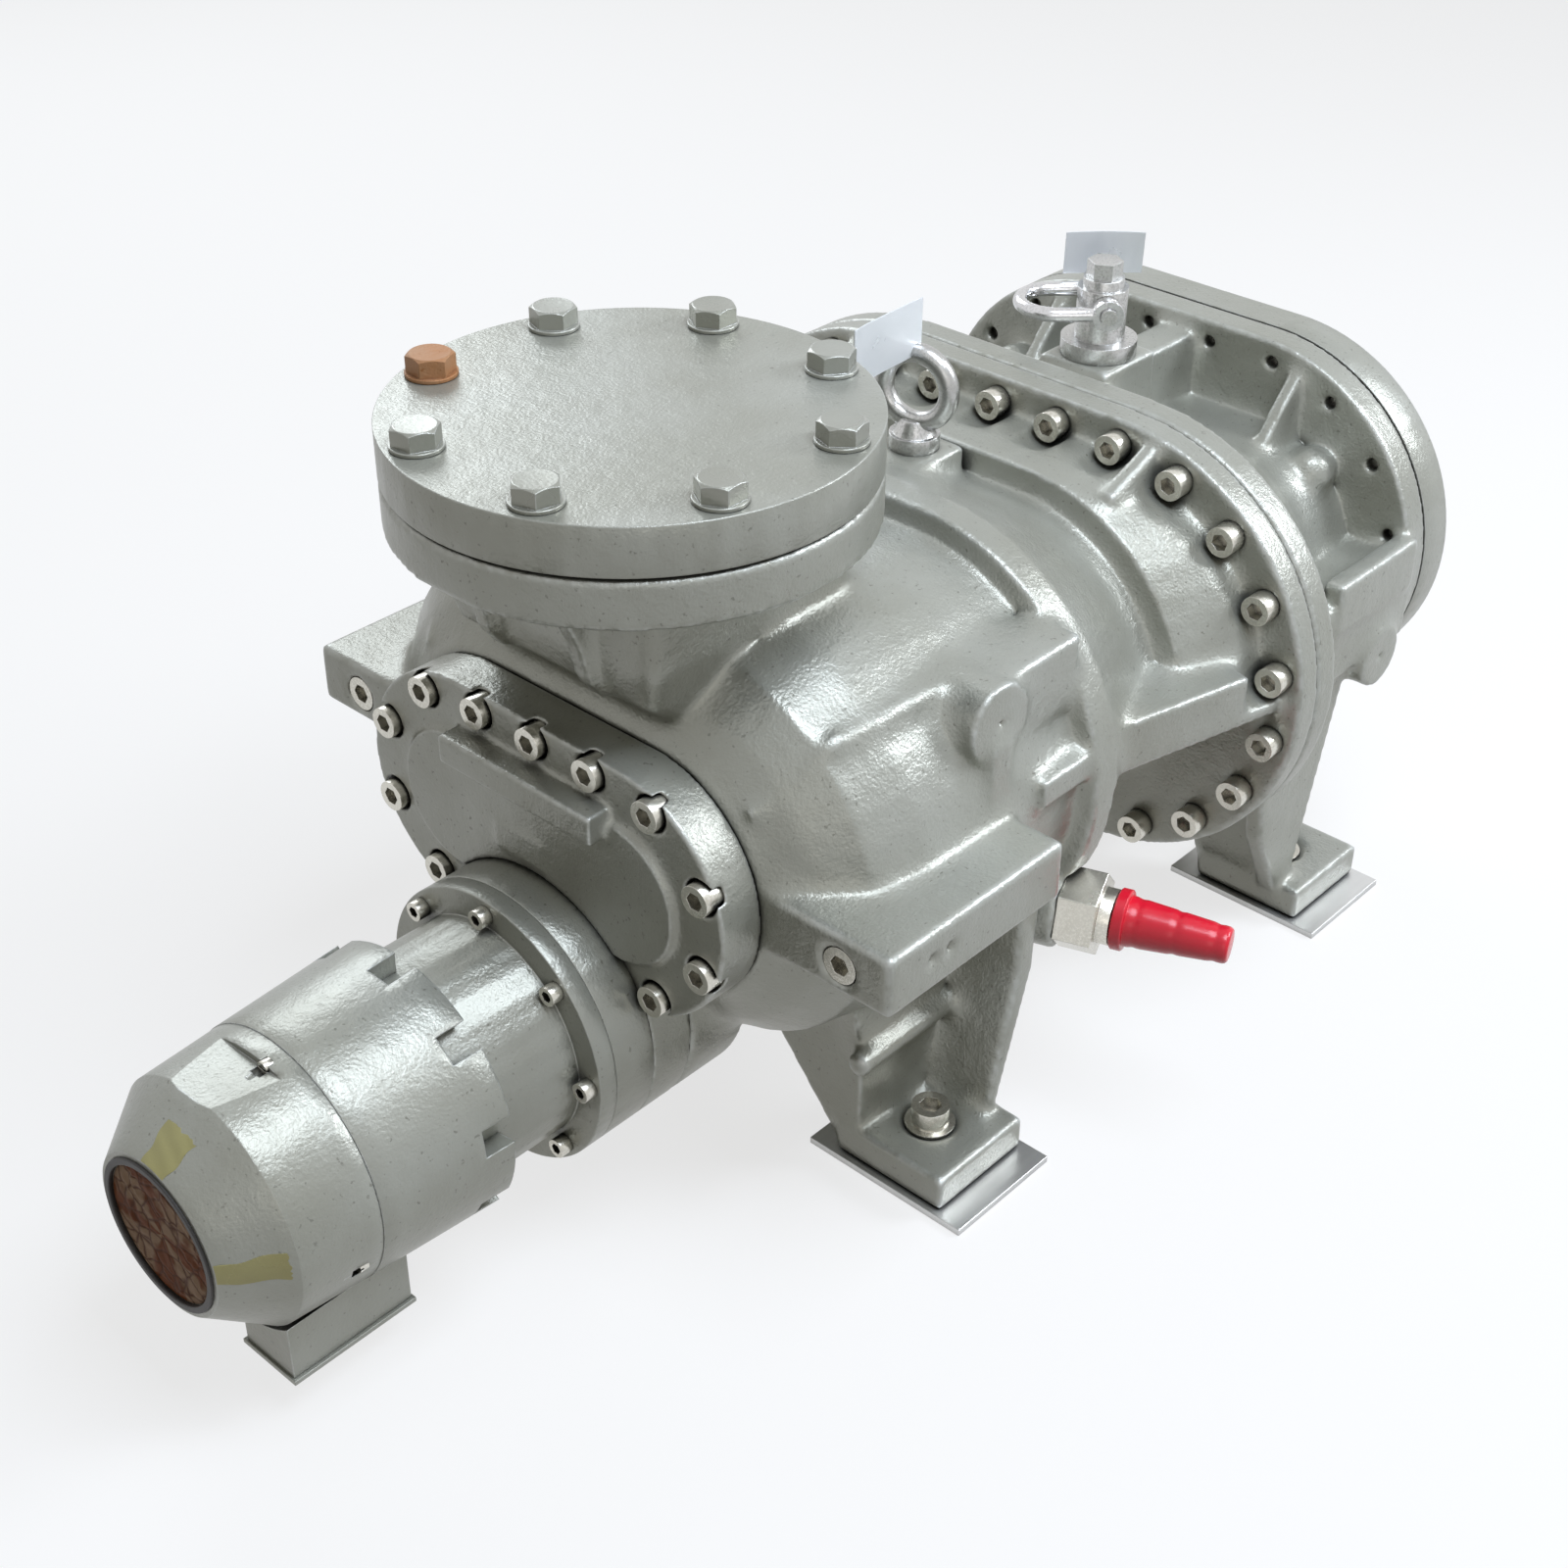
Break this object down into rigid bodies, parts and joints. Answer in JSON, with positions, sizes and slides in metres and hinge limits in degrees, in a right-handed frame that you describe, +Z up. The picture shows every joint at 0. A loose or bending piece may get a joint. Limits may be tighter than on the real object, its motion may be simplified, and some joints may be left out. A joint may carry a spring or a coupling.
{
  "type": "screw compressor",
  "caption": "Oil-flooded screw compressor block with slide valve unloader, position indicator, blanked inlet flange, lifting eyes and feet",
  "frame": {"origin": "on the floor at the centre of the four anchor holes of the base plates", "axes": "+X along the rotors towards the drive shaft, +Z up, -Y the side with the red capped fitting"},
  "size_m": [1.309, 0.6656, 0.616],
  "materials": {
    "painted_casting": "silver-green metallic paint on rough cast iron",
    "painted_lid": "silver-green metallic paint",
    "painted_bolts": "silver-green metallic paint on steel bolts",
    "zinc_screws": "zinc plated steel",
    "machined_steel": "ground steel, oiled",
    "bearing_steel": "hardened and ground steel",
    "bearing_bronze": "bearing bronze",
    "seal_carbon": "seal carbon",
    "gasket_sheet": "gasket sheet",
    "window_glass": "clear glass",
    "window_film": "brown crinkled protective film",
    "black_plastic": "black plastic",
    "red_plastic": "red plastic cap",
    "dial_white": "white enamel",
    "pointer_red": "red enamel",
    "lifting_chrome": "polished",
    "lifting_steel": "bright steel",
    "tag_sheet": "bare thin sheet, nothing printed",
    "plate_steel": "bright rolled steel"
  },
  "bodies": {
    "housing": {"main_casing": "painted_casting", "head_casing": "painted_casting", "end_cover": "painted_casting", "end_cover_bolts": "zinc_screws", "unloader_cylinder": "painted_casting", "unloader_screws": "zinc_screws", "indicator_neck": "painted_casting", "indicator_housing": "painted_casting", "indicator_cap": "painted_casting", "cap_screws": "zinc_screws", "window_glass": "window_glass", "window_ring": "black_plastic", "window_film": "window_film", "dial": "dial_white", "terminal_box": "painted_casting", "terminal_lid": "painted_lid", "lid_screws": "zinc_screws", "cable_gland": "black_plastic", "inlet_blind": "painted_casting", "inlet_gasket": "gasket_sheet", "inlet_bolts": "painted_bolts", "main_bolts": "zinc_screws", "rear_cover": "painted_casting", "rear_bolts": "zinc_screws", "seal_cover": "painted_casting", "seal_bolts": "zinc_screws", "seal_seat": "seal_carbon", "hex_adapter": "zinc_screws", "port_plugs": "zinc_screws", "eyebolt": "lifting_steel", "hoist_base": "lifting_steel", "notice_tags": "tag_sheet", "base_plates": "plate_steel", "foot_bolts": "zinc_screws", "suction_sleeves": "bearing_bronze", "discharge_sleeves": "bearing_bronze", "thrust_outers": "bearing_steel", "thrust_balls": "bearing_steel", "piston_sleeve": "bearing_bronze"},
    "male_rotor_body": {"male_rotor": "machined_steel", "male_shaft": "machined_steel", "balance_piston": "machined_steel", "male_thrust_ring": "bearing_steel", "male_lock_nut": "machined_steel", "seal_collar": "seal_carbon"},
    "female_rotor_body": {"female_rotor": "machined_steel", "female_shaft": "machined_steel", "female_thrust_ring": "bearing_steel", "female_lock_nut": "machined_steel"},
    "slide_body": {"slide_valve": "machined_steel", "unloader_rod": "machined_steel", "unloader_piston": "machined_steel"},
    "indicator_body": {"cam_shaft": "machined_steel", "pointer": "pointer_red"},
    "hoist_ring_body": {"hoist_ring": "lifting_chrome"},
    "red_cap_body": {"red_cap": "red_plastic"}
  },
  "joints": [
    {"name": "male_spin", "type": "hinge", "parent": "housing", "child": "male_rotor_body", "pos_m": [0.0875, -0.0816, 0.3], "axis": [1, 0, 0], "continuous": true},
    {"name": "female_spin", "type": "hinge", "parent": "housing", "child": "female_rotor_body", "pos_m": [0.0875, 0.0816, 0.3], "axis": [1, 0, 0], "continuous": true},
    {"name": "slide_travel", "type": "slide", "parent": "housing", "child": "slide_body", "axis": [1, 0, 0], "range_m": [0, 0.07]},
    {"name": "pointer_turn", "type": "hinge", "parent": "housing", "child": "indicator_body", "pos_m": [-0.7425, 0, 0.165], "axis": [1, 0, 0], "range_deg": [0, 240]},
    {"name": "hoist_ring_tilt", "type": "hinge", "parent": "housing", "child": "hoist_ring_body", "pos_m": [0.1975, 0, 0.514], "axis": [0.7071, 0.7071, 0], "range_deg": [0, 180]},
    {"name": "red_cap_pull", "type": "slide", "parent": "housing", "child": "red_cap_body", "axis": [0.342, -0.9397, 0], "range_m": [0, 0.04]}
  ],
  "couplings": [
    {"joint": "female_spin", "follows": "male_spin", "ratio": -0.66667},
    {"joint": "pointer_turn", "follows": "slide_travel", "rad_per_m": 59.8}
  ]
}
